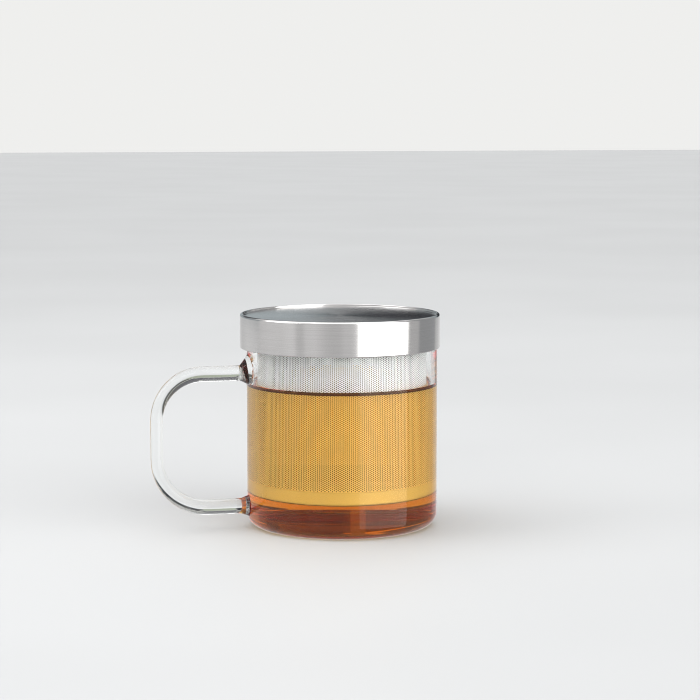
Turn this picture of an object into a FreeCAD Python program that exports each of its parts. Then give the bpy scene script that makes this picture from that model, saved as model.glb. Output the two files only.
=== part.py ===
import FreeCAD, Part
import math
import os
import re
import Sketcher

# A glass tea mug with a lift-off steel lid and a fine steel infuser, in millimetres.
# The origin is the centre of the cup's base on the table, +Z is up, and the handle points along -X.

# Driving dimensions, each set by itself. Radii are from the cup's axis unless a comment says otherwise.
SIZES = {
    # the glass cup
    "cup_outer_radius": 42.0,
    "cup_wall": 2.2,
    "cup_height": 88.0,
    "cup_base_thickness": 2.6,
    "cup_foot_radius": 6.0,  # rounding of the outer bottom corner
    "cup_floor_radius": 4.0,  # rounding of the inner bottom corner
    "cup_lip_radius": 0.8,  # fire-polished rounding of the lip
    "rest_ring_width": 5.0,  # flat ring that the cup stands on
    "punt_depth": 1.2,  # of the domed hollow under the base
    # the tea, as far as it fills the cup outside the infuser
    "tea_below_lip": 25.5,
    "tea_clearance": 0.3,
    # the glass handle, a bent rod
    "handle_standoff": 40.3,  # from the cup's outside to the middle of the grip
    "handle_arm_radius": 3.35,  # the rod's own radius at its arms
    "handle_grip_radius": 2.7,  # the rod's own radius at the grip, where it was drawn thinner
    "handle_below_lip": 19.5,  # from the lip down to the middle of the upper arm
    "handle_above_table": 9.7,  # middle of the lower arm
    "handle_upper_bend": 20.2,
    "handle_lower_bend": 21.9,
    "weld_length": 3.7,  # how far the flared ends stand out from the cup
    "weld_sink": 0.6,  # how deep they are drawn into the wall before they are trimmed to it
    "upper_weld_rise": 9.4,  # from the middle of the upper arm to the flare's top
    "upper_weld_drop": 5.6,
    "lower_weld_radius": 4.9,  # the flare's own radius
    # the infuser: a perforated sleeve between a pressed pan and a flanged rim
    "infuser_gap": 2.3,  # between the sleeve and the cup's inside
    "infuser_floor_gap": 11.9,  # between the pan and the cup's floor
    "sleeve_sheet": 0.35,
    "pan_sheet": 0.5,
    "pan_band_height": 6.0,
    "pan_corner_radius": 1.2,
    "lap_height": 2.0,  # stretch of the pan that goes inside the sleeve
    "lap_clearance": 0.05,
    "rim_sheet": 0.6,
    "rim_step_depth": 3.0,  # how far the rim drops into the cup before it steps in to the sleeve
    "rim_clearance": 0.4,
    "rim_collar_height": 4.0,
    "flange_inset": 0.3,  # the flange stops this far inside the cup's outside
    "flange_edge_radius": 0.2,
    # the lid: a steel shell over a moulded liner with a sealing ring
    "lid_height": 15.0,
    "lid_cup_clearance": 1.2,
    "lid_side_gap": 0.3,  # what is left of it towards the handle, where the loose lid has slid
    "lid_sheet": 0.8,
    "lid_recess": 1.0,
    "lid_bead_width": 1.4,
    "lid_rim_radius": 1.0,  # rounding from the skirt to the bead
    "lid_bead_radius": 0.3,  # rounding of the bead's inner edge
    "lid_recess_radius": 0.25,
    "lid_hem_radius": 0.5,
    "liner_plate": 1.6,
    "liner_clearance": 0.1,
    "plug_wall": 1.8,
    "plug_play": 1.3,  # between the plug and the rim's step, all round
    "plug_clearance": 0.4,  # under the plug
    "gasket_thickness": 2.0,
    "gasket_lip_width": 1.2,  # the thinner edge of the gasket
    "gasket_lip_rise": 0.8,
    "gasket_inset": 1.0,  # the gasket stops this far inside the liner's edge
}

# Dimensions that follow from the driving ones.
CUP_INSIDE = "(cup_outer_radius - cup_wall)"
TEA_LEVEL = "(cup_height - tea_below_lip)"
REACH = "(cup_outer_radius + handle_standoff)"
UPPER_ARM = "(cup_height - handle_below_lip)"
INFUSER_RADIUS = f"({CUP_INSIDE} - infuser_gap)"
INFUSER_BOTTOM = "(cup_base_thickness + infuser_floor_gap)"
BAND_TOP = f"({INFUSER_BOTTOM} + pan_band_height)"
LAP_RADIUS = f"({INFUSER_RADIUS} - sleeve_sheet - lap_clearance)"
STEP_RADIUS = f"({CUP_INSIDE} - rim_clearance)"
STEP_BOTTOM = "(cup_height - rim_step_depth)"
COLLAR_BORE = f"({LAP_RADIUS} - rim_sheet)"
FLANGE_RADIUS = "(cup_outer_radius - flange_inset)"
FLANGE_TOP = "(cup_height + rim_sheet)"
LID_INSIDE = "(cup_outer_radius + lid_cup_clearance)"
LID_RADIUS = f"({LID_INSIDE} + lid_sheet)"
LINER_UNDER = f"({FLANGE_TOP} + gasket_thickness)"
LINER_TOP = f"({LINER_UNDER} + liner_plate)"
LID_FACE = f"({LINER_TOP} + lid_sheet)"
LID_TOP = f"({LID_FACE} + lid_recess)"
LID_SKIRT_END = f"({LID_TOP} - lid_height)"
BEAD_INSIDE = f"({LID_RADIUS} - lid_bead_width)"
LID_SHIFT = "(lid_side_gap - lid_cup_clearance)"
LINER_RADIUS = f"({LID_INSIDE} - liner_clearance)"
PLUG_RADIUS = f"({STEP_RADIUS} - rim_sheet - plug_play)"
PLUG_BOTTOM = f"({STEP_BOTTOM} + rim_sheet + plug_clearance)"
GASKET_RADIUS = f"({LINER_RADIUS} - gasket_inset)"

SUB_PARTS = [
    "cup_body",
    "handle",
    "tea",
    "infuser_sleeve",
    "infuser_pan",
    "infuser_rim",
    "lid_shell",
    "lid_liner",
    "lid_gasket",
]

# Share of a weld flare's growth that it has reached half-way along, low enough to make it hollow.
FLARE_HALF_WAY = 0.45
ALONG_X, ALONG_Z = "DistanceX", "DistanceY"  # a sketch's own two directions, on a plane that holds Z

doc = FreeCAD.newDocument("tea_mug")
sheet = doc.addObject("Spreadsheet::Sheet", "Sizes")
for row, (alias, value) in enumerate(SIZES.items(), start=1):
    sheet.set(f"A{row}", alias)
    sheet.set(f"B{row}", str(value))
    sheet.setAlias(f"B{row}", alias)
doc.recompute()


def bound(expression):
    """The expression with each size's alias looked up in the sheet."""
    return re.sub(r"[a-z][a-z_]+", lambda word: f"{sheet.Name}.{word.group()}", expression)


def value_of(expression):
    return float(sheet.evalExpression(bound(expression)))


def bind(item, prop, expression):
    item.setExpression(prop, bound(expression))


def new_body(name):
    body = doc.addObject("PartDesign::Body", name)
    body.Label = name
    return body


def new_sketch(body, name, role, offset=None):
    """A sketch on one of the body's origin planes, or at an offset along its normal."""
    sketch = body.newObject("Sketcher::SketchObject", name)
    plane = next(item for item in body.Origin.OriginFeatures if item.Role == role)
    sketch.AttachmentSupport = [(plane, "")]
    sketch.MapMode = "FlatFace"
    if offset:
        bind(sketch, "AttachmentOffset.Base.z", offset)
    return sketch


def fix_point(sketch, geometry, end, place):
    """Holds a point of the sketch at two expressions, measured from the origin."""
    for kind, expression, axis in zip((ALONG_X, ALONG_Z), place, (-2, -1)):
        size = value_of(expression)
        if abs(size) < 1e-9:
            sketch.addConstraint(Sketcher.Constraint("PointOnObject", geometry, end, axis))
            continue
        points = (-1, 1, geometry, end) if size > 0 else (geometry, end, -1, 1)
        index = sketch.addConstraint(Sketcher.Constraint(kind, *points, abs(size)))
        sketch.setExpression(
            f"Constraints[{index}]", bound(expression if size > 0 else f"-({expression})")
        )


def vector_of(place):
    return FreeCAD.Vector(value_of(place[0]), value_of(place[1]), 0)


def draw_outline(sketch, places):
    """A closed outline of straight sides through places, each a pair of expressions."""
    for start, end in zip(places, places[1:] + places[:1]):
        sketch.addGeometry(Part.LineSegment(vector_of(start), vector_of(end)))
    for index, place in enumerate(places):
        sketch.addConstraint(
            Sketcher.Constraint("Coincident", (index - 1) % len(places), 2, index, 1)
        )
        fix_point(sketch, index, 1, place)


def draw_circle(sketch, place, radius):
    index = sketch.addGeometry(
        Part.Circle(vector_of(place), FreeCAD.Vector(0, 0, 1), value_of(radius))
    )
    fix_point(sketch, index, 3, place)
    size = sketch.addConstraint(Sketcher.Constraint("Radius", index, value_of(radius)))
    sketch.setExpression(f"Constraints[{size}]", bound(radius))


def turned(body, name, places):
    """A solid of revolution about Z from an outline of (radius, height) places."""
    sketch = new_sketch(body, f"{name}_profile", "XZ_Plane")
    draw_outline(sketch, places)
    revolution = body.newObject("PartDesign::Revolution", f"{name}_turned")
    revolution.Profile = sketch
    revolution.ReferenceAxis = (sketch, ["V_Axis"])
    revolution.Angle = 360
    doc.recompute()
    return revolution


def round_edges(body, name, feature, radius, circles):
    """Fillets the feature's circular edges about Z at the given (radius, height) places."""
    wanted = [(value_of(r), value_of(height)) for r, height in circles]
    edges = []
    for number, edge in enumerate(feature.Shape.Edges, start=1):
        if not isinstance(edge.Curve, Part.Circle):
            continue
        own = (edge.Curve.Radius, edge.Curve.Center.z)
        if any(math.dist(own, place) < 1e-4 for place in wanted):
            edges.append(f"Edge{number}")
    if len(edges) < len(circles):
        raise RuntimeError(f"{name} found {len(edges)} edges of {len(circles)}")
    fillet = body.newObject("PartDesign::Fillet", name)
    fillet.Base = (feature, edges)
    bind(fillet, "Radius", radius)
    doc.recompute()
    return fillet


def lay_on_base_plane(item, body):
    plane = next(part for part in body.Origin.OriginFeatures if part.Role == "XY_Plane")
    item.AttachmentSupport = [(plane, "")]
    item.MapMode = "FlatFace"


def make_cup_body():
    body = new_body("cup_body")
    blank = turned(
        body,
        "cup",
        [
            ("0", "0"),
            ("cup_outer_radius", "0"),
            ("cup_outer_radius", "cup_height"),
            (CUP_INSIDE, "cup_height"),
            (CUP_INSIDE, "cup_base_thickness"),
            ("0", "cup_base_thickness"),
        ],
    )
    foot = round_edges(body, "cup_foot", blank, "cup_foot_radius", [("cup_outer_radius", "0")])
    floor = round_edges(
        body, "cup_floor", foot, "cup_floor_radius", [(CUP_INSIDE, "cup_base_thickness")]
    )
    lip = [("cup_outer_radius", "cup_height"), (CUP_INSIDE, "cup_height")]
    round_edges(body, "cup_lip", floor, "cup_lip_radius", lip)
    punt_edge = "(cup_outer_radius - cup_foot_radius - rest_ring_width)"
    ball_radius = f"({punt_edge} * {punt_edge} + punt_depth * punt_depth) / (2 * punt_depth)"
    punt = body.newObject("PartDesign::SubtractiveSphere", "punt")
    lay_on_base_plane(punt, body)
    bind(punt, "Radius", ball_radius)
    bind(punt, "AttachmentOffset.Base.z", f"punt_depth - {ball_radius}")
    doc.recompute()


def make_tea():
    """The tea under and around the infuser, whose inside is left open."""
    body = new_body("tea")
    pocket_radius = f"({INFUSER_RADIUS} + tea_clearance)"
    pocket_floor = f"({INFUSER_BOTTOM} - tea_clearance)"
    fill = turned(
        body,
        "tea",
        [
            ("0", "cup_base_thickness"),
            (CUP_INSIDE, "cup_base_thickness"),
            (CUP_INSIDE, TEA_LEVEL),
            (pocket_radius, TEA_LEVEL),
            (pocket_radius, pocket_floor),
            ("0", pocket_floor),
        ],
    )
    outer = round_edges(
        body, "tea_floor", fill, "cup_floor_radius", [(CUP_INSIDE, "cup_base_thickness")]
    )
    pocket = [(pocket_radius, pocket_floor)]
    round_edges(body, "tea_pocket", outer, "pan_corner_radius + tea_clearance", pocket)


def draw_handle_path(sketch):
    """The rod's middle line: out along the upper arm, down the grip and back to the cup."""
    wall = "weld_sink - cup_outer_radius"
    arm_ends = (f"handle_upper_bend - {REACH}", f"handle_lower_bend - {REACH}")
    grip_ends = (f"{UPPER_ARM} - handle_upper_bend", "handle_above_table + handle_lower_bend")
    upper_arm = [(wall, UPPER_ARM), (arm_ends[0], UPPER_ARM)]
    grip = [(f"-{REACH}", grip_ends[0]), (f"-{REACH}", grip_ends[1])]
    lower_arm = [(arm_ends[1], "handle_above_table"), (wall, "handle_above_table")]
    for index, places in enumerate((upper_arm, grip, lower_arm)):
        sketch.addGeometry(Part.LineSegment(*(vector_of(place) for place in places)))
        fix_point(sketch, index, 1, places[0])
        fix_point(sketch, index, 2, places[1])
    bends = [
        ((arm_ends[0], grip_ends[0]), "handle_upper_bend", 90, 0),
        ((arm_ends[1], grip_ends[1]), "handle_lower_bend", 180, 1),
    ]
    for centre, radius, start, line in bends:
        circle = Part.Circle(vector_of(centre), FreeCAD.Vector(0, 0, 1), value_of(radius))
        arc = Part.ArcOfCircle(circle, math.radians(start), math.radians(start + 90))
        index = sketch.addGeometry(arc)
        sketch.addConstraint(Sketcher.Constraint("Coincident", line, 2, index, 1))
        sketch.addConstraint(Sketcher.Constraint("Coincident", index, 2, line + 1, 1))
        size = sketch.addConstraint(Sketcher.Constraint("Radius", index, value_of(radius)))
        sketch.setExpression(f"Constraints[{size}]", bound(radius))


def ring(body, name, role, offset, place, radius):
    """A sketch that holds one circle, as a section of the rod or of a weld."""
    sketch = new_sketch(body, name, role, offset)
    draw_circle(sketch, place, radius)
    return sketch


def make_rod(body):
    path = new_sketch(body, "rod_path", "XZ_Plane")
    draw_handle_path(path)
    wall = "weld_sink - cup_outer_radius"
    upper, lower = ("0", UPPER_ARM), ("0", "handle_above_table")
    upper_bend, lower_bend = f"handle_upper_bend - {REACH}", f"handle_lower_bend - {REACH}"
    grip = (f"-{REACH}", "0")
    grip_top = f"{UPPER_ARM} - handle_upper_bend"
    grip_bottom = "handle_above_table + handle_lower_bend"
    sections = [
        ring(body, "rod_at_upper_wall", "YZ_Plane", wall, upper, "handle_arm_radius"),
        ring(body, "rod_at_upper_bend", "YZ_Plane", upper_bend, upper, "handle_arm_radius"),
        ring(body, "rod_at_grip_top", "XY_Plane", grip_top, grip, "handle_grip_radius"),
        ring(body, "rod_at_grip_bottom", "XY_Plane", grip_bottom, grip, "handle_grip_radius"),
        ring(body, "rod_at_lower_bend", "YZ_Plane", lower_bend, lower, "handle_arm_radius"),
        ring(body, "rod_at_lower_wall", "YZ_Plane", wall, lower, "handle_arm_radius"),
    ]
    doc.recompute()
    pipe = body.newObject("PartDesign::AdditivePipe", "rod")
    pipe.Profile = sections[0]
    pipe.Spine = (path, [])
    pipe.Transformation = "Multisection"
    pipe.Sections = sections[1:]
    doc.recompute()


def make_weld(body, name, height, rise, drop):
    """A hollow flare that widens from the rod to the cup's wall."""
    outer_end = "-(cup_outer_radius + weld_length)"
    wall_end = "weld_sink - cup_outer_radius"
    half_way = f"({outer_end} + {wall_end}) / 2"
    wall_radius = f"({rise} + {drop}) / 2"
    wall_middle = f"({height} + ({rise} - {drop}) / 2)"
    part_radius = f"handle_arm_radius + {FLARE_HALF_WAY} * ({wall_radius} - handle_arm_radius)"
    part_middle = f"{height} + {FLARE_HALF_WAY} * ({rise} - {drop}) / 2"
    sections = [
        ring(body, f"{name}_start", "YZ_Plane", outer_end, ("0", height), "handle_arm_radius"),
        ring(body, f"{name}_middle", "YZ_Plane", half_way, ("0", part_middle), part_radius),
        ring(body, f"{name}_wall", "YZ_Plane", wall_end, ("0", wall_middle), wall_radius),
    ]
    doc.recompute()
    flare = body.newObject("PartDesign::AdditiveLoft", name)
    flare.Profile = sections[0]
    flare.Sections = sections[1:]
    doc.recompute()


def make_handle():
    """The bent rod with its two flared welds, trimmed to the cup's outside."""
    body = new_body("handle")
    make_rod(body)
    make_weld(body, "upper_weld", UPPER_ARM, "upper_weld_rise", "upper_weld_drop")
    lower = "lower_weld_radius"
    make_weld(body, "lower_weld", "handle_above_table", lower, lower)
    untrimmed = body.Shape.Volume
    trim = body.newObject("PartDesign::SubtractiveCylinder", "trim_to_cup")
    lay_on_base_plane(trim, body)
    bind(trim, "Radius", "cup_outer_radius")
    bind(trim, "Height", "cup_height")
    doc.recompute()
    if not 0 < body.Shape.Volume < untrimmed:
        raise RuntimeError("the handle's welds were not trimmed to the cup")


def make_infuser_sleeve():
    """The tube of fine perforated sheet, which stands on the pan's band under the rim's step."""
    body = new_body("infuser_sleeve")
    inside = f"{INFUSER_RADIUS} - sleeve_sheet"
    turned(
        body,
        "sleeve",
        [
            (inside, BAND_TOP),
            (INFUSER_RADIUS, BAND_TOP),
            (INFUSER_RADIUS, STEP_BOTTOM),
            (inside, STEP_BOTTOM),
        ],
    )


def make_infuser_pan():
    body = new_body("infuser_pan")
    bore = f"{LAP_RADIUS} - pan_sheet"
    blank = turned(
        body,
        "pan",
        [
            ("0", INFUSER_BOTTOM),
            (INFUSER_RADIUS, INFUSER_BOTTOM),
            (INFUSER_RADIUS, BAND_TOP),
            (LAP_RADIUS, BAND_TOP),
            (LAP_RADIUS, f"{BAND_TOP} + lap_height"),
            (bore, f"{BAND_TOP} + lap_height"),
            (bore, f"{INFUSER_BOTTOM} + pan_sheet"),
            ("0", f"{INFUSER_BOTTOM} + pan_sheet"),
        ],
    )
    corner = [(INFUSER_RADIUS, INFUSER_BOTTOM)]
    round_edges(body, "pan_corner", blank, "pan_corner_radius", corner)


def make_infuser_rim():
    """A flange on the cup's lip, a step that centres it in the cup, and a collar in the sleeve."""
    body = new_body("infuser_rim")
    step_inside = f"{STEP_RADIUS} - rim_sheet"
    collar_end = f"{STEP_BOTTOM} - rim_collar_height"
    blank = turned(
        body,
        "rim",
        [
            (COLLAR_BORE, collar_end),
            (LAP_RADIUS, collar_end),
            (LAP_RADIUS, STEP_BOTTOM),
            (STEP_RADIUS, STEP_BOTTOM),
            (STEP_RADIUS, "cup_height"),
            (FLANGE_RADIUS, "cup_height"),
            (FLANGE_RADIUS, FLANGE_TOP),
            (step_inside, FLANGE_TOP),
            (step_inside, f"{STEP_BOTTOM} + rim_sheet"),
            (COLLAR_BORE, f"{STEP_BOTTOM} + rim_sheet"),
        ],
    )
    edges = [(FLANGE_RADIUS, "cup_height"), (FLANGE_RADIUS, FLANGE_TOP), (step_inside, FLANGE_TOP)]
    round_edges(body, "flange_edges", blank, "flange_edge_radius", edges)


def slide_lid_aside(body):
    """The lid lies loose on the rim, so it rests a little towards the handle."""
    bind(body, "Placement.Base.x", LID_SHIFT)


def make_lid_shell():
    """A drawn cap with a raised bead round its sunk top."""
    body = new_body("lid_shell")
    blank = turned(
        body,
        "shell",
        [
            ("0", LID_FACE),
            (BEAD_INSIDE, LID_FACE),
            (BEAD_INSIDE, LID_TOP),
            (LID_RADIUS, LID_TOP),
            (LID_RADIUS, LID_SKIRT_END),
            (LID_INSIDE, LID_SKIRT_END),
            (LID_INSIDE, LINER_TOP),
            ("0", LINER_TOP),
        ],
    )
    rim = round_edges(body, "rim_edge", blank, "lid_rim_radius", [(LID_RADIUS, LID_TOP)])
    bead = round_edges(body, "bead_edge", rim, "lid_bead_radius", [(BEAD_INSIDE, LID_TOP)])
    recess = [(BEAD_INSIDE, LID_FACE)]
    sunk = round_edges(body, "recess_corner", bead, "lid_recess_radius", recess)
    round_edges(body, "skirt_hem", sunk, "lid_hem_radius", [(LID_RADIUS, LID_SKIRT_END)])
    slide_lid_aside(body)


def make_lid_liner():
    """A moulded plate under the shell's top, with a plug that drops into the rim's step."""
    body = new_body("lid_liner")
    plug_inside = f"{PLUG_RADIUS} - plug_wall"
    turned(
        body,
        "liner",
        [
            ("0", LINER_UNDER),
            (plug_inside, LINER_UNDER),
            (plug_inside, PLUG_BOTTOM),
            (PLUG_RADIUS, PLUG_BOTTOM),
            (PLUG_RADIUS, LINER_UNDER),
            (LINER_RADIUS, LINER_UNDER),
            (LINER_RADIUS, LINER_TOP),
            ("0", LINER_TOP),
        ],
    )
    slide_lid_aside(body)


def make_lid_gasket():
    """A soft ring round the plug that the lid rests on, thinner at its edge."""
    body = new_body("lid_gasket")
    lip_start = f"{GASKET_RADIUS} - gasket_lip_width"
    lip_under = f"{FLANGE_TOP} + gasket_lip_rise"
    turned(
        body,
        "gasket",
        [
            (PLUG_RADIUS, FLANGE_TOP),
            (lip_start, FLANGE_TOP),
            (GASKET_RADIUS, lip_under),
            (GASKET_RADIUS, LINER_UNDER),
            (PLUG_RADIUS, LINER_UNDER),
        ],
    )
    slide_lid_aside(body)


make_cup_body()
make_tea()
make_handle()
make_infuser_sleeve()
make_infuser_pan()
make_infuser_rim()
make_lid_shell()
make_lid_liner()
make_lid_gasket()
doc.recompute()

for item in doc.Objects:
    if {"Invalid", "Error"} & set(item.State):
        raise RuntimeError(f"{item.Label} failed to build: {item.State}")
bodies = {item.Label: item for item in doc.Objects if item.TypeId == "PartDesign::Body"}
if sorted(bodies) != sorted(SUB_PARTS):
    raise RuntimeError(f"the sub-parts are {sorted(bodies)}")
for label, body in bodies.items():
    shape = body.Shape
    if shape.isNull() or not shape.isValid() or len(shape.Solids) != 1:
        raise RuntimeError(f"{label} is not one valid solid")

os.makedirs("parts", exist_ok=True)
for label in SUB_PARTS:
    shape = bodies[label].Shape
    shape.exportStep(f"parts/{label}.step")
    box = shape.BoundBox
    print(
        f"{label}: {shape.Volume:.1f} mm3, X {box.XMin:.2f} to {box.XMax:.2f}, "
        f"Y {box.YMin:.2f} to {box.YMax:.2f}, Z {box.ZMin:.2f} to {box.ZMax:.2f}"
    )
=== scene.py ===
import math

import bmesh
import bpy
import numpy as np
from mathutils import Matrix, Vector


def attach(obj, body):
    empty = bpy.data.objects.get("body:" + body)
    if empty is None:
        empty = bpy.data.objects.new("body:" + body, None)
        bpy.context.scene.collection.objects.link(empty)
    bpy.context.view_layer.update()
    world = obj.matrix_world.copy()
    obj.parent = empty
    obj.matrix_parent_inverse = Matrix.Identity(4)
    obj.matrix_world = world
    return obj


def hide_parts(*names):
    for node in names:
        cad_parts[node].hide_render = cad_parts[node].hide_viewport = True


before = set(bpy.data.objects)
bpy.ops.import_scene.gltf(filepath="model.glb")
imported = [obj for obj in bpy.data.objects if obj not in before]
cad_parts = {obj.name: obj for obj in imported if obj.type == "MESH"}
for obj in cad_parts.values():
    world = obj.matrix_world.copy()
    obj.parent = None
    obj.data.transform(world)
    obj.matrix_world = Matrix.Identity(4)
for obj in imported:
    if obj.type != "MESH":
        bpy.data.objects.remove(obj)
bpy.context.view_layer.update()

MM = 0.001
TURN = 2 * math.pi

# The cup and its handle, in millimetres, as the solids have them.
CUP_RADIUS = 42.0
CUP_WALL = 2.2
CUP_HEIGHT = 88.0
CUP_BASE = 2.6
FOOT_ROUND = 6.0
FLOOR_ROUND = 4.0
LIP_ROUND = 0.8
REST_RING = (31.0, 36.0)  # inner and outer radius of the ring that it stands on
PUNT_DEPTH = 1.2  # of the hollow inside that ring
UPPER_ARM = 68.5
LOWER_ARM = 9.7
GRIP_X = -82.3
UPPER_BEND = 20.2
LOWER_BEND = 21.9
ARM_RADIUS = 3.35
GRIP_RADIUS = 2.7
WELD_START = -45.7
WELD_WALL = -41.4
WELD_END = -40.9  # the rod's end, inside the cup's wall
UPPER_WELD = (7.5, 1.9)  # its radius at the wall, and how far its middle lies above the arm
LOWER_WELD = (4.9, 0.0)
FLARE = 1.15  # power that the flares grow by: 1 would be straight cones
FLARE_STEPS = 8
BEND_STEPS = 28
ROD_SIDES = 48

# The tea, whose side overlaps the glass a little so that light passes straight from one to the other.
TEA_LEVEL = 62.5
TEA_OVERLAP = 0.15
TEA_CLIMB = 1.3  # over its level, where it touches the glass
# Its curved edges from there to the infuser and on inside it: radius and height over the level.
TEA_CREEP = [
    (39.5, 0.8), (39.1, 0.4), (38.6, 0.25), (38.1, 0.35), (37.8, 0.5), (37.4, 0.7), (37.0, 0.4),
    (36.4, 0.12), (35.5, 0),
]
# Painted shade: a near-black ring stands for the dark line that the tea's curved edge shows on the glass.
TEA_SHADE_LINE = [(39.3, 62.5), (39.85, 62.4), (39.85, 63.25), (39.6, 62.9)]  # its dark edge on the glass

# The perforated sheet of the infuser.
INFUSER_RADIUS = 37.5
SLEEVE_SHEET = 0.35
SLEEVE_ENDS = (20.5, 85.0)
HOLE_COLUMNS = 300
HOLE_PITCH = 0.875  # along a column; each column is half a pitch higher or lower than the next
FIRST_HOLE = 21.15  # height of its middle
LAST_HOLE = 83.6
HOLE_RADIUS = 0.31
SLEEVE_PIECES = 5

# The lid's shell.
LID_X = -0.9  # the loose lid sits this far towards the handle
LID_RADIUS = 44.0
LID_SHEET = 0.8
LID_TOP = 94.0
LID_FACE = 93.0
LID_FACE_RINGS = (38, 30, 20, 10, 4, 0)  # radii
LID_UNDER = 92.2
LID_SKIRT_END = 79.0
BEAD_WIDTH = 1.4
RIM_ROUND = 1.0  # from the skirt to the bead
BEAD_ROUND = 0.3
FACE_ROUND = 0.25
SKIRT_ROUND = 0.5  # at the skirt's lower edge

SHARP = 35  # degrees between two faces from which their edge is drawn sharp
SHARP_IN_GLASS = 30
ON_AXIS = 1e-6


def arc(middle, radius, start, end, steps):
    """Places on an arc, from one angle in degrees to another in a number of straight steps."""
    angles = np.radians(np.linspace(start, end, steps + 1))
    return [(middle[0] + radius * math.cos(a), middle[1] + radius * math.sin(a)) for a in angles]


def new_object(name, verts, faces, smooth):
    """A mesh object from places in millimetres. Edges sharper than smooth degrees stay sharp."""
    mesh = bpy.data.meshes.new(name)
    mesh.from_pydata([tuple(c * MM for c in v) for v in verts], [], faces)
    return add_mesh(name, mesh, smooth)


def add_mesh(name, mesh, smooth):
    """A mesh as an object of the scene. With smooth at 0 its shading stays as it is."""
    mesh.validate()
    if smooth:
        mesh.shade_smooth()
        mesh.set_sharp_from_angle(angle=math.radians(smooth))
    thing = bpy.data.objects.new(name, mesh)
    bpy.context.scene.collection.objects.link(thing)
    return thing


def turned_mesh(profile, steps, middle_x=0.0):
    """Vertices and faces of a profile of (radius, height) places turned about Z.

    A profile that starts on the axis also ends there, and any other closes to a ring.
    """
    rings = []
    verts = []
    for radius, height in profile:
        if radius < ON_AXIS:
            rings.append([len(verts)] * steps)
            verts.append((middle_x, 0.0, height))
            continue
        rings.append(list(range(len(verts), len(verts) + steps)))
        for i in range(steps):
            angle = TURN * i / steps
            verts.append((middle_x + radius * math.cos(angle), radius * math.sin(angle), height))
    faces = []
    above = rings[1:] + rings[:1] if profile[0][0] > ON_AXIS else rings[1:]
    for low, high in zip(rings, above):
        for i in range(steps):
            k = (i + 1) % steps
            corners = [low[i], low[k], high[k], high[i]]
            corners = [c for n, c in enumerate(corners) if c not in corners[:n]]
            if len(corners) > 2:
                faces.append(corners)
    return verts, faces


def turned(name, profile, steps=256, middle_x=0.0, smooth=SHARP):
    verts, faces = turned_mesh(profile, steps, middle_x)
    return new_object(name, verts, faces, smooth)


def cup_profile():
    """Up the outside, over the lip and down the inside, from the middle of the base."""
    inside = CUP_RADIUS - CUP_WALL
    outer_rows = np.linspace(FOOT_ROUND, CUP_HEIGHT - LIP_ROUND, 44)[1:-1]
    return (
        [(r, PUNT_DEPTH * (1 - (r / REST_RING[0]) ** 2)) for r in np.linspace(0, REST_RING[0], 24)]
        + arc((CUP_RADIUS - FOOT_ROUND, FOOT_ROUND), FOOT_ROUND, -90, 0, 16)
        + [(CUP_RADIUS, z) for z in outer_rows]
        + arc((CUP_RADIUS - LIP_ROUND, CUP_HEIGHT - LIP_ROUND), LIP_ROUND, 0, 90, 6)
        + arc((inside + LIP_ROUND, CUP_HEIGHT - LIP_ROUND), LIP_ROUND, 90, 180, 6)
        + arc((inside - FLOOR_ROUND, CUP_BASE + FLOOR_ROUND), FLOOR_ROUND, 0, -90, 14)
        + [(r, CUP_BASE) for r in np.linspace(inside - FLOOR_ROUND, 0, 16)[1:]]
    )


def weld_rings(height, weld):
    """Rings (x, z, radius) of a flare, from the rod to inside the wall."""
    radius, lift = weld
    rings = []
    for share in np.linspace(0, 1, FLARE_STEPS + 1)[1:]:
        x = WELD_START + share * (WELD_WALL - WELD_START)
        grown = share**FLARE
        rings.append((x, height + grown * lift, ARM_RADIUS + grown * (radius - ARM_RADIUS)))
    rings.append((WELD_END, height + lift, radius))
    return rings


def ease(share):
    return share * share * (3 - 2 * share)


def bend_rings(middle, bend_radius, start, first, last):
    """Rings round a quarter bend that starts at an angle in degrees.

    On the way the rod's own radius goes from first to last.
    """
    rings = []
    for i in range(1, BEND_STEPS + 1):
        a = math.radians(start + 90 * i / BEND_STEPS)
        place = (middle[0] + bend_radius * math.cos(a), middle[1] + bend_radius * math.sin(a))
        rings.append((place, (-math.sin(a), math.cos(a)), first + (last - first) * ease(i / BEND_STEPS)))
    return rings


def rod_rings():
    """Rings along the handle: place (x, z), direction (x, z) and radius."""
    rings = [((x, z), (-1, 0), r) for x, z, r in reversed(weld_rings(UPPER_ARM, UPPER_WELD))]
    upper = (GRIP_X + UPPER_BEND, UPPER_ARM - UPPER_BEND)
    lower = (GRIP_X + LOWER_BEND, LOWER_ARM + LOWER_BEND)
    rings += [((x, UPPER_ARM), (-1, 0), ARM_RADIUS) for x in np.linspace(WELD_START, upper[0], 8)]
    rings += bend_rings(upper, UPPER_BEND, 90, ARM_RADIUS, GRIP_RADIUS)
    rings += [((GRIP_X, z), (0, -1), GRIP_RADIUS) for z in np.linspace(upper[1], lower[1], 6)[1:]]
    rings += bend_rings(lower, LOWER_BEND, 180, GRIP_RADIUS, ARM_RADIUS)
    rings += [((x, LOWER_ARM), (1, 0), ARM_RADIUS) for x in np.linspace(lower[0], WELD_START, 8)[1:]]
    rings += [((x, z), (1, 0), r) for x, z, r in weld_rings(LOWER_ARM, LOWER_WELD)]
    return rings


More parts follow.
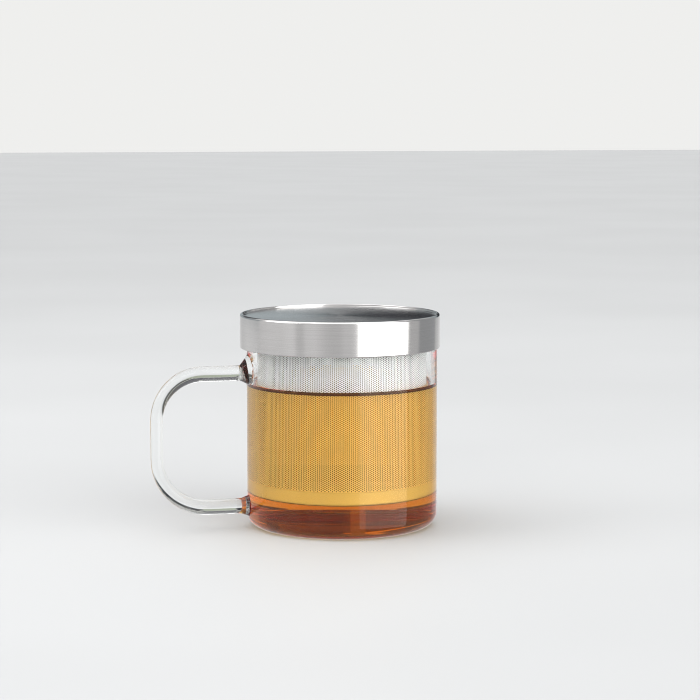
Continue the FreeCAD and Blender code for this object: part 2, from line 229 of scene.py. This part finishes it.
def make_glass():
    """The cup and its handle as one piece of glass."""
    verts = []
    faces = []
    for (x, z), (dx, dz), radius in rod_rings():
        for i in range(ROD_SIDES):
            a = TURN * i / ROD_SIDES
            side, out = radius * math.cos(a), radius * math.sin(a)
            verts.append((x - dz * out, side, z + dx * out))
    for low in range(0, len(verts) - ROD_SIDES, ROD_SIDES):
        high = low + ROD_SIDES
        for i in range(ROD_SIDES):
            k = (i + 1) % ROD_SIDES
            faces.append([low + i, high + i, high + k, low + k])
    faces.append(list(range(ROD_SIDES)))
    faces.append(list(reversed(range(len(verts) - ROD_SIDES, len(verts)))))
    rod = new_object("rod", verts, faces, 0)
    cup = turned("cup_glass", cup_profile(), smooth=0)
    for thing in (rod, cup):
        turn_faces_out(thing)
    join = cup.modifiers.new("join", "BOOLEAN")
    join.operation = "UNION"
    join.solver = "EXACT"
    join.object = rod
    shown = cup.evaluated_get(bpy.context.evaluated_depsgraph_get())
    mesh = bpy.data.meshes.new_from_object(shown)
    bpy.data.objects.remove(rod)
    bpy.data.objects.remove(cup)
    return add_mesh("cup_glass", mesh, SHARP_IN_GLASS)


def turn_faces_out(thing):
    work = bmesh.new()
    work.from_mesh(thing.data)
    bmesh.ops.recalc_face_normals(work, faces=work.faces)
    work.to_mesh(thing.data)
    work.free()


def tea_profile():
    """From the middle of the floor out to the glass, up to the level and back to the axis."""
    side = CUP_RADIUS - CUP_WALL + TEA_OVERLAP
    floor = CUP_BASE - TEA_OVERLAP
    corner = FLOOR_ROUND + TEA_OVERLAP
    return (
        [(r, floor) for r in np.linspace(0, side - corner, 16)[:-1]]
        + arc((side - corner, floor + corner), corner, -90, 0, 14)
        + [(side, TEA_LEVEL + TEA_CLIMB)]
        + [(r, TEA_LEVEL + rise) for r, rise in TEA_CREEP]
        + [(0, TEA_LEVEL)]
    )


def lid_profile():
    """Up the skirt's outside, over the bead, across the sunk face and back under the sheet."""
    inside = LID_RADIUS - LID_SHEET
    bead_inside = LID_RADIUS - BEAD_WIDTH
    return (
        [(0, LID_UNDER), (inside, LID_UNDER), (inside, LID_SKIRT_END)]
        + arc((LID_RADIUS - SKIRT_ROUND, LID_SKIRT_END + SKIRT_ROUND), SKIRT_ROUND, -90, 0, 5)
        + arc((LID_RADIUS - RIM_ROUND, LID_TOP - RIM_ROUND), RIM_ROUND, 0, 90, 14)
        + arc((bead_inside + BEAD_ROUND, LID_TOP - BEAD_ROUND), BEAD_ROUND, 90, 180, 8)
        + arc((bead_inside - FACE_ROUND, LID_FACE + FACE_ROUND), FACE_ROUND, 0, -90, 5)
        + [(r, LID_FACE) for r in LID_FACE_RINGS]
    )


def sheet_pattern(first, last):
    """Flat places and faces of the sleeve's columns first to last: six-sided cells with a hole each.

    Across, a place counts in columns, and up, in millimetres.
    """
    width = TURN * INFUSER_RADIUS / HOLE_COLUMNS  # of a column, in millimetres
    corner = 2 / 3  # how far the cells' side corners reach, so that they fit together
    hole = HOLE_RADIUS / width
    half = HOLE_PITCH / 2
    cell = np.array([(corner, 0), (1 - corner, half), (corner - 1, half),
                     (-corner, 0), (corner - 1, -half), (1 - corner, -half)])
    angles = np.radians(60 * np.arange(6))
    holes = np.stack([hole * np.cos(angles), HOLE_RADIUS * np.sin(angles)], axis=1)
    rows = int((LAST_HOLE - FIRST_HOLE) / HOLE_PITCH)
    columns = np.arange(first, last)
    across, up = np.meshgrid(columns.astype(float), np.arange(rows, dtype=float), indexing="ij")
    up = FIRST_HOLE + (up + 0.5 * (np.round(across).astype(int) % 2)) * HOLE_PITCH
    middles = np.stack([across.ravel(), up.ravel()], axis=1)
    outer = (middles[:, None] + cell).reshape(-1, 2)
    inner = (middles[:, None] + holes).reshape(-1, 2)
    places = np.concatenate([outer, inner])
    start = np.arange(len(middles))[:, None] * 6
    step = np.arange(6)
    after = (step + 1) % 6
    shift = len(outer)
    cells = [start + step, start + after, shift + start + after, shift + start + step]
    quads = [np.stack(cells, axis=2).reshape(-1, 4)]
    for end, turn in ((SLEEVE_ENDS[0], -1), (SLEEVE_ENDS[1], 1)):
        edge = []
        for column in columns:
            middle = FIRST_HOLE + 0.5 * (column % 2) * HOLE_PITCH
            if turn > 0:
                middle += (rows - 1) * HOLE_PITCH
            at_edge = middle + turn * half
            edge += [(column + corner - 1, at_edge), (column + 1 - corner, at_edge)]
        edge = np.array(edge)
        rim = edge.copy()
        rim[:, 1] = end
        at = len(places)
        places = np.concatenate([places, edge, rim])
        n = np.arange(len(edge) - 1)
        strip = [at + n, at + len(edge) + n, at + len(edge) + n + 1, at + n + 1]
        quads.append(np.stack(strip if turn < 0 else strip[::-1], axis=1))
    keys = np.round(places, 5)
    _, kept, index = np.unique(keys, axis=0, return_index=True, return_inverse=True)
    return places[kept], index.ravel()[np.concatenate(quads)]


def sheet_mesh(name, places, quads):
    """The pattern rolled to the sleeve's radius and given the sheet's thickness.

    Its outer side has the first material, and its inner side and the holes' walls have the second, a
    darker steel that paints their shade.
    """
    angle = places[:, 0] * TURN / HOLE_COLUMNS
    layers = []
    for radius in (INFUSER_RADIUS, INFUSER_RADIUS - SLEEVE_SHEET):
        layers.append(np.stack([radius * np.cos(angle), radius * np.sin(angle), places[:, 1]], axis=1))
    verts = np.concatenate(layers) * MM
    edges = np.concatenate([quads[:, [i, (i + 1) % 4]] for i in range(4)])
    _, first, counts = np.unique(np.sort(edges, axis=1), axis=0, return_index=True, return_counts=True)
    open_edges = edges[first[counts == 1]]
    back = len(places)
    start, end = open_edges.T
    walls = np.stack([end, start, start + back, end + back], axis=1)
    faces = np.concatenate([quads, quads[:, ::-1] + back, walls]).astype(np.int32)
    mesh = bpy.data.meshes.new(name)
    mesh.vertices.add(len(verts))
    mesh.vertices.foreach_set("co", verts.astype(np.float32).ravel())
    mesh.loops.add(faces.size)
    mesh.loops.foreach_set("vertex_index", faces.ravel())
    mesh.polygons.add(len(faces))
    mesh.polygons.foreach_set("loop_start", np.arange(0, faces.size, 4, dtype=np.int32))
    # Index 1 gives the inner side and the holes' walls the darker steel: painted shade.
    inner = np.zeros(len(faces), dtype=np.int32)
    inner[len(quads):] = 1
    mesh.polygons.foreach_set("material_index", inner)
    mesh.update(calc_edges=True)
    return mesh


def make_sleeve():
    """The perforated sleeve in pieces that meet along its columns."""
    share = HOLE_COLUMNS // SLEEVE_PIECES
    pieces = []
    for number in range(SLEEVE_PIECES):
        name = f"sleeve_sheet_{number + 1}"
        places, quads = sheet_pattern(number * share, (number + 1) * share)
        pieces.append(add_mesh(name, sheet_mesh(name, places, quads), 0))
    return pieces


class Nodes:
    """A small helper that adds nodes and links them."""

    def __init__(self, tree):
        self.tree = tree
        tree.nodes.clear()

    def add(self, kind, **settings):
        node = self.tree.nodes.new(kind)
        for key, value in settings.items():
            setattr(node, key, value)
        return node

    def link(self, source, target):
        self.tree.links.new(source, target)

    def math(self, operation, first, second=None):
        node = self.add("ShaderNodeMath", operation=operation)
        for slot, value in enumerate((first, second)):
            if value is None:
                continue
            if isinstance(value, (int, float)):
                node.inputs[slot].default_value = value
            else:
                self.link(value, node.inputs[slot])
        return node.outputs[0]

    def split(self, vector):
        """The x, y and z of a vector."""
        node = self.add("ShaderNodeSeparateXYZ")
        self.link(vector, node.inputs[0])
        return node.outputs

    def reach(self, x, y):
        """How far a place lies from the axis."""
        squares = self.math("ADD", self.math("MULTIPLY", x, x), self.math("MULTIPLY", y, y))
        return self.math("SQRT", squares)

    def mixed(self, share, under, colour):
        """A colour laid over what is under it, by its share."""
        node = self.add("ShaderNodeMix", data_type="RGBA")
        self.link(share, node.inputs["Factor"])
        self.link(under, node.inputs["A"])
        node.inputs["B"].default_value = (*colour, 1)
        return node.outputs["Result"]

    def show(self, shader, kind="ShaderNodeOutputMaterial"):
        out = self.add(kind)
        self.link(shader.outputs[0], out.inputs["Surface"])
        return out

    def ramp(self, source, stops):
        node = self.add("ShaderNodeValToRGB")
        while len(node.color_ramp.elements) < len(stops):
            node.color_ramp.elements.new(0.5)
        for element, (place, colour) in zip(node.color_ramp.elements, stops):
            element.position = place
            element.color = (*colour, 1)
        self.link(source, node.inputs[0])
        return node.outputs[0]


CLEAR_SHINE = (0.45, 0.45, 0.45, 1)  # keeps what clear things mirror from hiding what is behind
GROOVES_ROUND = 1.6  # how fast the brushed grooves change round the axis
GROOVE_SHADE = 0.9
GROOVE_ROUGHNESS = (0.8, 1.2)
MOTTLE_SCALE = 60.0
MOTTLE_SHADE = 0.96


def new_material(name):
    material = bpy.data.materials.new(name)
    material.use_nodes = True
    return material, Nodes(material.node_tree)


def principled(nodes, **values):
    shader = nodes.add("ShaderNodeBsdfPrincipled")
    for key, value in values.items():
        shader.inputs[key.replace("_", " ")].default_value = value
    return shader


def clear_material(name, colour, ior, lamp_colour, absorb=None):
    """Clear glass or liquid that lets the lamps' light through to what is behind it.

    absorb is a liquid's colour and how much it takes up in each metre.
    """
    material, nodes = new_material(name)
    shader = principled(nodes, Base_Color=(*colour, 1), Roughness=0.0, IOR=ior, Transmission_Weight=1.0)
    shader.inputs["Specular Tint"].default_value = CLEAR_SHINE
    see_through = nodes.add("ShaderNodeBsdfTransparent")
    see_through.inputs["Color"].default_value = (*lamp_colour, 1)
    path = nodes.add("ShaderNodeLightPath")
    mix = nodes.add("ShaderNodeMixShader")
    nodes.link(path.outputs["Is Shadow Ray"], mix.inputs[0])
    nodes.link(shader.outputs[0], mix.inputs[1])
    nodes.link(see_through.outputs[0], mix.inputs[2])
    out = nodes.show(mix)
    if absorb:
        volume = nodes.add("ShaderNodeVolumeAbsorption")
        volume.inputs["Color"].default_value = (*absorb[0], 1)
        volume.inputs["Density"].default_value = absorb[1]
        nodes.link(volume.outputs[0], out.inputs["Volume"])
    return material


def brushed_steel(name, colour, roughness, middle_x, grain):
    """Steel brushed round its axis. Its grooves vary in tone and shine, about grain of them to a metre."""
    material, nodes = new_material(name)
    shader = principled(nodes, Metallic=1.0, Anisotropic=0.8, Anisotropic_Rotation=0.25)
    spot = nodes.add("ShaderNodeTexCoord")
    move = nodes.add("ShaderNodeVectorMath", operation="SUBTRACT")
    move.inputs[1].default_value = (middle_x * MM, 0, 0)
    nodes.link(spot.outputs["Object"], move.inputs[0])
    x, y, z = nodes.split(move.outputs[0])
    reach = nodes.reach(x, y)
    safe = nodes.math("MAXIMUM", reach, 1e-4)
    joined = nodes.add("ShaderNodeCombineXYZ")
    for side, slot in zip((x, y), joined.inputs):
        nodes.link(nodes.math("MULTIPLY", nodes.math("DIVIDE", side, safe), GROOVES_ROUND), slot)
    nodes.link(nodes.math("MULTIPLY", nodes.math("ADD", reach, z), grain), joined.inputs[2])
    noise = nodes.add("ShaderNodeTexNoise")
    noise.inputs["Scale"].default_value = 1.0
    noise.inputs["Detail"].default_value = 3.0
    nodes.link(joined.outputs[0], noise.inputs["Vector"])
    darker = tuple(c * GROOVE_SHADE for c in colour)
    tone = nodes.ramp(noise.outputs["Fac"], [(0.3, darker), (0.7, colour)])
    nodes.link(tone, shader.inputs["Base Color"])
    spread = nodes.add("ShaderNodeMapRange")
    spread.inputs["To Min"].default_value = roughness * GROOVE_ROUGHNESS[0]
    spread.inputs["To Max"].default_value = roughness * GROOVE_ROUGHNESS[1]
    nodes.link(noise.outputs["Fac"], spread.inputs["Value"])
    nodes.link(spread.outputs["Result"], shader.inputs["Roughness"])
    tangent = nodes.add("ShaderNodeTangent", direction_type="RADIAL", axis="Z")
    nodes.link(tangent.outputs[0], shader.inputs["Tangent"])
    nodes.show(shader)
    return material


def plain_material(name, colour, roughness, inside=None, **values):
    """An even surface with a faint mottle in its colour.

    inside gives a radius, a height and the colour of painted shade for what lies within the one and above
    the other.
    """
    material, nodes = new_material(name)
    shader = principled(nodes, Roughness=roughness, **values)
    noise = nodes.add("ShaderNodeTexNoise")
    noise.inputs["Scale"].default_value = MOTTLE_SCALE
    darker = tuple(c * MOTTLE_SHADE for c in colour)
    tone = nodes.ramp(noise.outputs["Fac"], [(0.35, darker), (0.65, colour)])
    if inside:
        # Painted shade: within the radius and above the height the colour turns darker.
        radius, bottom, shade_colour = inside
        spot = nodes.add("ShaderNodeTexCoord")
        x, y, z = nodes.split(spot.outputs["Object"])
        near = nodes.math("LESS_THAN", nodes.reach(x, y), radius * MM)
        over = nodes.math("GREATER_THAN", z, bottom * MM)
        tone = nodes.mixed(nodes.math("MULTIPLY", near, over), tone, shade_colour)
    nodes.link(tone, shader.inputs["Base Color"])
    nodes.show(shader)
    return material


def dress(thing, material):
    thing.data.materials.clear()
    thing.data.materials.append(material)


# The camera stands in front of the mug, turned towards the handle, and looks a little over its middle.
CAMERA_TURN = -12.0
CAMERA_DISTANCE = 0.941  # from the cup's axis, in metres
CAMERA_HEIGHT = 0.1837
CAMERA_PITCH = 6.438  # degrees down
CAMERA_YAW = 0.217  # degrees to the right of the axis
CAMERA_LENS = 110.5

# How bright the studio is all round, by the angle in degrees from the camera, positive to its right.
# The levels are fitted to the light and dark bands that the lid's side mirrors.
SURROUNDINGS = [
    (-180, 0.85), (-165, 0.75), (-153, 0.72), (-132, 0.95), (-117, 0.95), (-105, 0.87), (-89, 0.93),
    (-71, 0.92), (-59, 1.00), (-53, 0.98), (-50, 0.78), (-43, 0.77), (-40, 0.94), (-29, 0.97), (-22, 0.88),
    (-15, 0.79), (-8, 0.75), (0, 0.76), (6, 0.86), (13, 0.85), (18, 1.00), (100, 0.50), (180, 0.85),
]
CEILING = (0.9, 0.9, 0.9)
CEILING_EDGE = (35, 65)  # heights, in degrees over the horizon, between which it fades in
TABLE = (0.79, 0.8, 0.81)
TABLE_EDGE = (-26, -22)
BACKDROP = (0.863, 0.863, 0.85)  # what the camera itself sees behind the floor
# Panels, each laid over those before it: who sees it (everything, what mirrors, or what shows through
# the glass), where its angles count from, angles, heights, softness of its edges, colour.
PANELS = [
    ("all", "front", (-125, 125), (55, 95), 10, (2.2, 2.2, 2.2)),
    ("all", "front", (-125, -60), (45, 70), 8, (2.4, 2.4, 2.4)),
    ("mirrors", "behind", (-75, 75), (-3, 26), 4, (0.43, 0.48, 0.50)),
    ("mirrors", "behind", (-100, 100), (40, 95), 8, (1.8, 1.8, 1.8)),
    ("glass", "behind", (-75, 75), (1, 33), 3, (0.10, 0.10, 0.09)),
    ("glass", "behind", (-75, 75), (8.4, 9.2), 0.8, (1.3, 1.3, 1.25)),
    ("glass", "behind", (-75, 75), (15, 16.2), 0.8, (1.3, 1.3, 1.25)),
    ("glass", "behind", (-75, 75), (22.5, 23.5), 0.8, (1.3, 1.3, 1.25)),
    ("glass", "behind", (-70, 70), (33, 62), 6, (0.12, 0.12, 0.13)),
    ("glass", "behind", (2.5, 6.5), (-3, 46), 1, (0.58, 0.59, 0.56)),
    ("glass", "behind", (2.5, 6.5), (-3, 12), 1, (0.36, 0.39, 0.31)),
    ("all", "front", (21, 84.5), (-25, 60), 1.5, (3.2, 3.2, 3.15)),
    ("all", "front", (88, 142), (-25, 55), 4, (0.44, 0.45, 0.46)),
    ("all", "front", (88, 103), (-25, 55), 3, (0.68, 0.68, 0.68)),
    ("mirrors", "behind", (-30, 0.5), (1.5, 12), 1.6, (0.03, 0.03, 0.035)),
    ("mirrors", "behind", (0.5, 40), (13, 34), 3, (0.12, 0.12, 0.13)),
]
# Lamps: name, place and what they point at in metres, size in metres, power in watts.
LAMPS = [
    ("overhead", (-0.1, 0.3, 1.3), (0, 0, 0), (1.2, 0.8), 4),
    ("window", (0.49, -0.755, 0.45), (0, 0, 0.05), (0.5, 0.5), 1.2),
    ("fill", (-0.75, 0.02, 0.65), (0, 0, 0.05), (0.6, 0.6), 3),
]
FLOOR_REACH = 8.0
LIGHT_BOUNCES = 160  # light goes to and fro in the glass of the welds many times before it leaves
PIXEL_SPREAD = 1.0  # how many pixels wide each one gathers light


def make_world():
    """A studio all round: soft light with the panels laid over it."""
    world = bpy.data.worlds.new("studio")
    bpy.context.scene.world = world
    world.use_nodes = True
    nodes = Nodes(world.node_tree)
    spot = nodes.add("ShaderNodeTexCoord")
    x, y, z = nodes.split(spot.outputs["Generated"])
    turn = nodes.math("ARCTAN2", x, nodes.math("MULTIPLY", y, -1.0))

    def turned_from(degrees):
        wrap = nodes.add("ShaderNodeMath", operation="WRAP")
        nodes.link(nodes.math("SUBTRACT", turn, math.radians(degrees)), wrap.inputs[0])
        wrap.inputs[1].default_value = math.pi
        wrap.inputs[2].default_value = -math.pi
        return nodes.math("MULTIPLY", wrap.outputs[0], 360 / TURN)

    def rises(source, start, end):
        step = nodes.add("ShaderNodeMapRange", interpolation_type="SMOOTHSTEP")
        step.inputs["From Min"].default_value = start
        step.inputs["From Max"].default_value = end
        nodes.link(source, step.inputs["Value"])
        return step.outputs["Result"]

    def within(source, low, high, soft):
        below = rises(source, low - soft / 2, low + soft / 2)
        above = rises(source, high - soft / 2, high + soft / 2)
        return nodes.math("MULTIPLY", below, nodes.math("SUBTRACT", 1.0, above))

    angles = {"front": turned_from(CAMERA_TURN), "behind": turned_from(CAMERA_TURN + 180)}
    height = nodes.math("MULTIPLY", nodes.math("ARCSINE", z), 360 / TURN)
    stops = [((angle + 180) / 360, (bright,) * 3) for angle, bright in SURROUNDINGS]
    share = nodes.math("ADD", nodes.math("DIVIDE", angles["front"], 360.0), 0.5)
    light = nodes.mixed(rises(height, *CEILING_EDGE), nodes.ramp(share, stops), CEILING)
    light = nodes.mixed(nodes.math("SUBTRACT", 1.0, rises(height, *TABLE_EDGE)), light, TABLE)
    path = nodes.add("ShaderNodeLightPath")
    viewers = {"glass": path.outputs["Is Transmission Ray"], "mirrors": path.outputs["Is Glossy Ray"]}
    for viewer, side, turns, heights, soft, colour in PANELS:
        mask = nodes.math("MULTIPLY", within(angles[side], *turns, soft), within(height, *heights, soft))
        if viewer in viewers:
            mask = nodes.math("MULTIPLY", mask, viewers[viewer])
        light = nodes.mixed(mask, light, colour)
    seen = nodes.add("ShaderNodeBackground")
    seen.inputs["Color"].default_value = (*BACKDROP, 1)
    felt = nodes.add("ShaderNodeBackground")
    nodes.link(light, felt.inputs["Color"])
    either = nodes.add("ShaderNodeMixShader")
    nodes.link(path.outputs["Is Camera Ray"], either.inputs[0])
    nodes.link(felt.outputs[0], either.inputs[1])
    nodes.link(seen.outputs[0], either.inputs[2])
    nodes.show(either, "ShaderNodeOutputWorld")


def make_lights():
    for name, place, target, size, power in LAMPS:
        light = bpy.data.lights.new(name, "AREA")
        light.shape = "RECTANGLE"
        light.size, light.size_y = size
        light.energy = power
        lamp = bpy.data.objects.new(name, light)
        lamp.location = place
        lamp.rotation_euler = (Vector(target) - Vector(place)).to_track_quat("-Z", "Y").to_euler()
        bpy.context.scene.collection.objects.link(lamp)


def make_floor():
    mesh = bpy.data.meshes.new("floor")
    corners = [(x * FLOOR_REACH, y * FLOOR_REACH, 0) for x, y in ((-1, -1), (1, -1), (1, 1), (-1, 1))]
    mesh.from_pydata(corners, [], [[0, 1, 2, 3]])
    floor = bpy.data.objects.new("floor", mesh)
    bpy.context.scene.collection.objects.link(floor)
    dress(floor, plain_material("floor_paint", (0.455, 0.46, 0.465), 0.6))
    floor.visible_glossy = False


def make_camera():
    data = bpy.data.cameras.new("camera")
    data.lens = CAMERA_LENS
    data.sensor_width = 36.0
    data.clip_end = 50.0
    camera = bpy.data.objects.new("camera", data)
    turn = math.radians(CAMERA_TURN)
    camera.location = (math.sin(turn) * CAMERA_DISTANCE, -math.cos(turn) * CAMERA_DISTANCE, CAMERA_HEIGHT)
    camera.rotation_euler = (math.radians(90 - CAMERA_PITCH), 0, turn - math.radians(CAMERA_YAW))
    bpy.context.scene.collection.objects.link(camera)
    bpy.context.scene.camera = camera


STEEL = (0.57, 0.56, 0.555)
SHEET = (0.95, 0.945, 0.93)
PAN = (0.78, 0.775, 0.76)
# The pan's inside, painted darker as shade: within this radius, above this height, so that the holes stand
# out.
PAN_PAINTED_SHADE = (37.25, 14.75, (0.25, 0.25, 0.24))
glass = clear_material("clear_glass", (0.99, 1.0, 0.995), 1.47, (0.94, 0.95, 0.95))
tea_liquid = clear_material(
    "tea_liquid", (1, 0.62, 0.2), 1.33, (0.99, 0.82, 0.4), absorb=((0.967, 0.82, 0.0), 90)
)
lid_steel = brushed_steel("lid_steel", STEEL, 0.18, LID_X, 6000)
# Near-black: painted shade for the dark line at the tea's edge.
tea_edge_shade = plain_material("tea_edge_shade", (0.06, 0.02, 0.01), 0.4, Specular_IOR_Level=0.2)
# Darker steel for the sleeve's inner side and holes: painted shade.
inner_steel_painted_shade = plain_material("inner_steel_painted_shade", (0.42, 0.42, 0.41), 0.5, Metallic=0.6)
sheet_steel = plain_material("sheet_steel", SHEET, 0.45, Metallic=0.6)
pan_steel_painted_shade = plain_material("pan_steel_painted_shade", PAN, 0.45, PAN_PAINTED_SHADE, Metallic=0.6)

cup_glass = make_glass()
dress(cup_glass, glass)
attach(cup_glass, "mug")
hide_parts("cup_body", "handle")

tea = turned("tea_fill", tea_profile())
dress(tea, tea_liquid)
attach(tea, "mug")
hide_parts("tea")

line = turned("tea_shade_line", TEA_SHADE_LINE)
dress(line, tea_edge_shade)
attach(line, "mug")

for piece in make_sleeve():
    piece.data.materials.append(sheet_steel)
    piece.data.materials.append(inner_steel_painted_shade)
    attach(piece, "infuser")
    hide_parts("infuser_sleeve")

lid = turned("lid_cap", lid_profile(), steps=360, middle_x=LID_X)
dress(lid, lid_steel)
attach(lid, "lid")
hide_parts("lid_shell")

dress(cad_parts["infuser_pan"], pan_steel_painted_shade)
dress(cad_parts["infuser_rim"], sheet_steel)
dress(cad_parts["lid_liner"], plain_material("liner_plastic", (0.82, 0.82, 0.8), 0.45))
dress(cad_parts["lid_gasket"], plain_material("gasket_silicone", (0.8, 0.81, 0.81), 0.5))

make_world()
make_lights()
make_floor()
make_camera()
bpy.context.scene.view_settings.view_transform = "Standard"
paths = bpy.context.scene.cycles
paths.max_bounces = paths.transmission_bounces = paths.glossy_bounces = LIGHT_BOUNCES
paths.filter_width = PIXEL_SPREAD
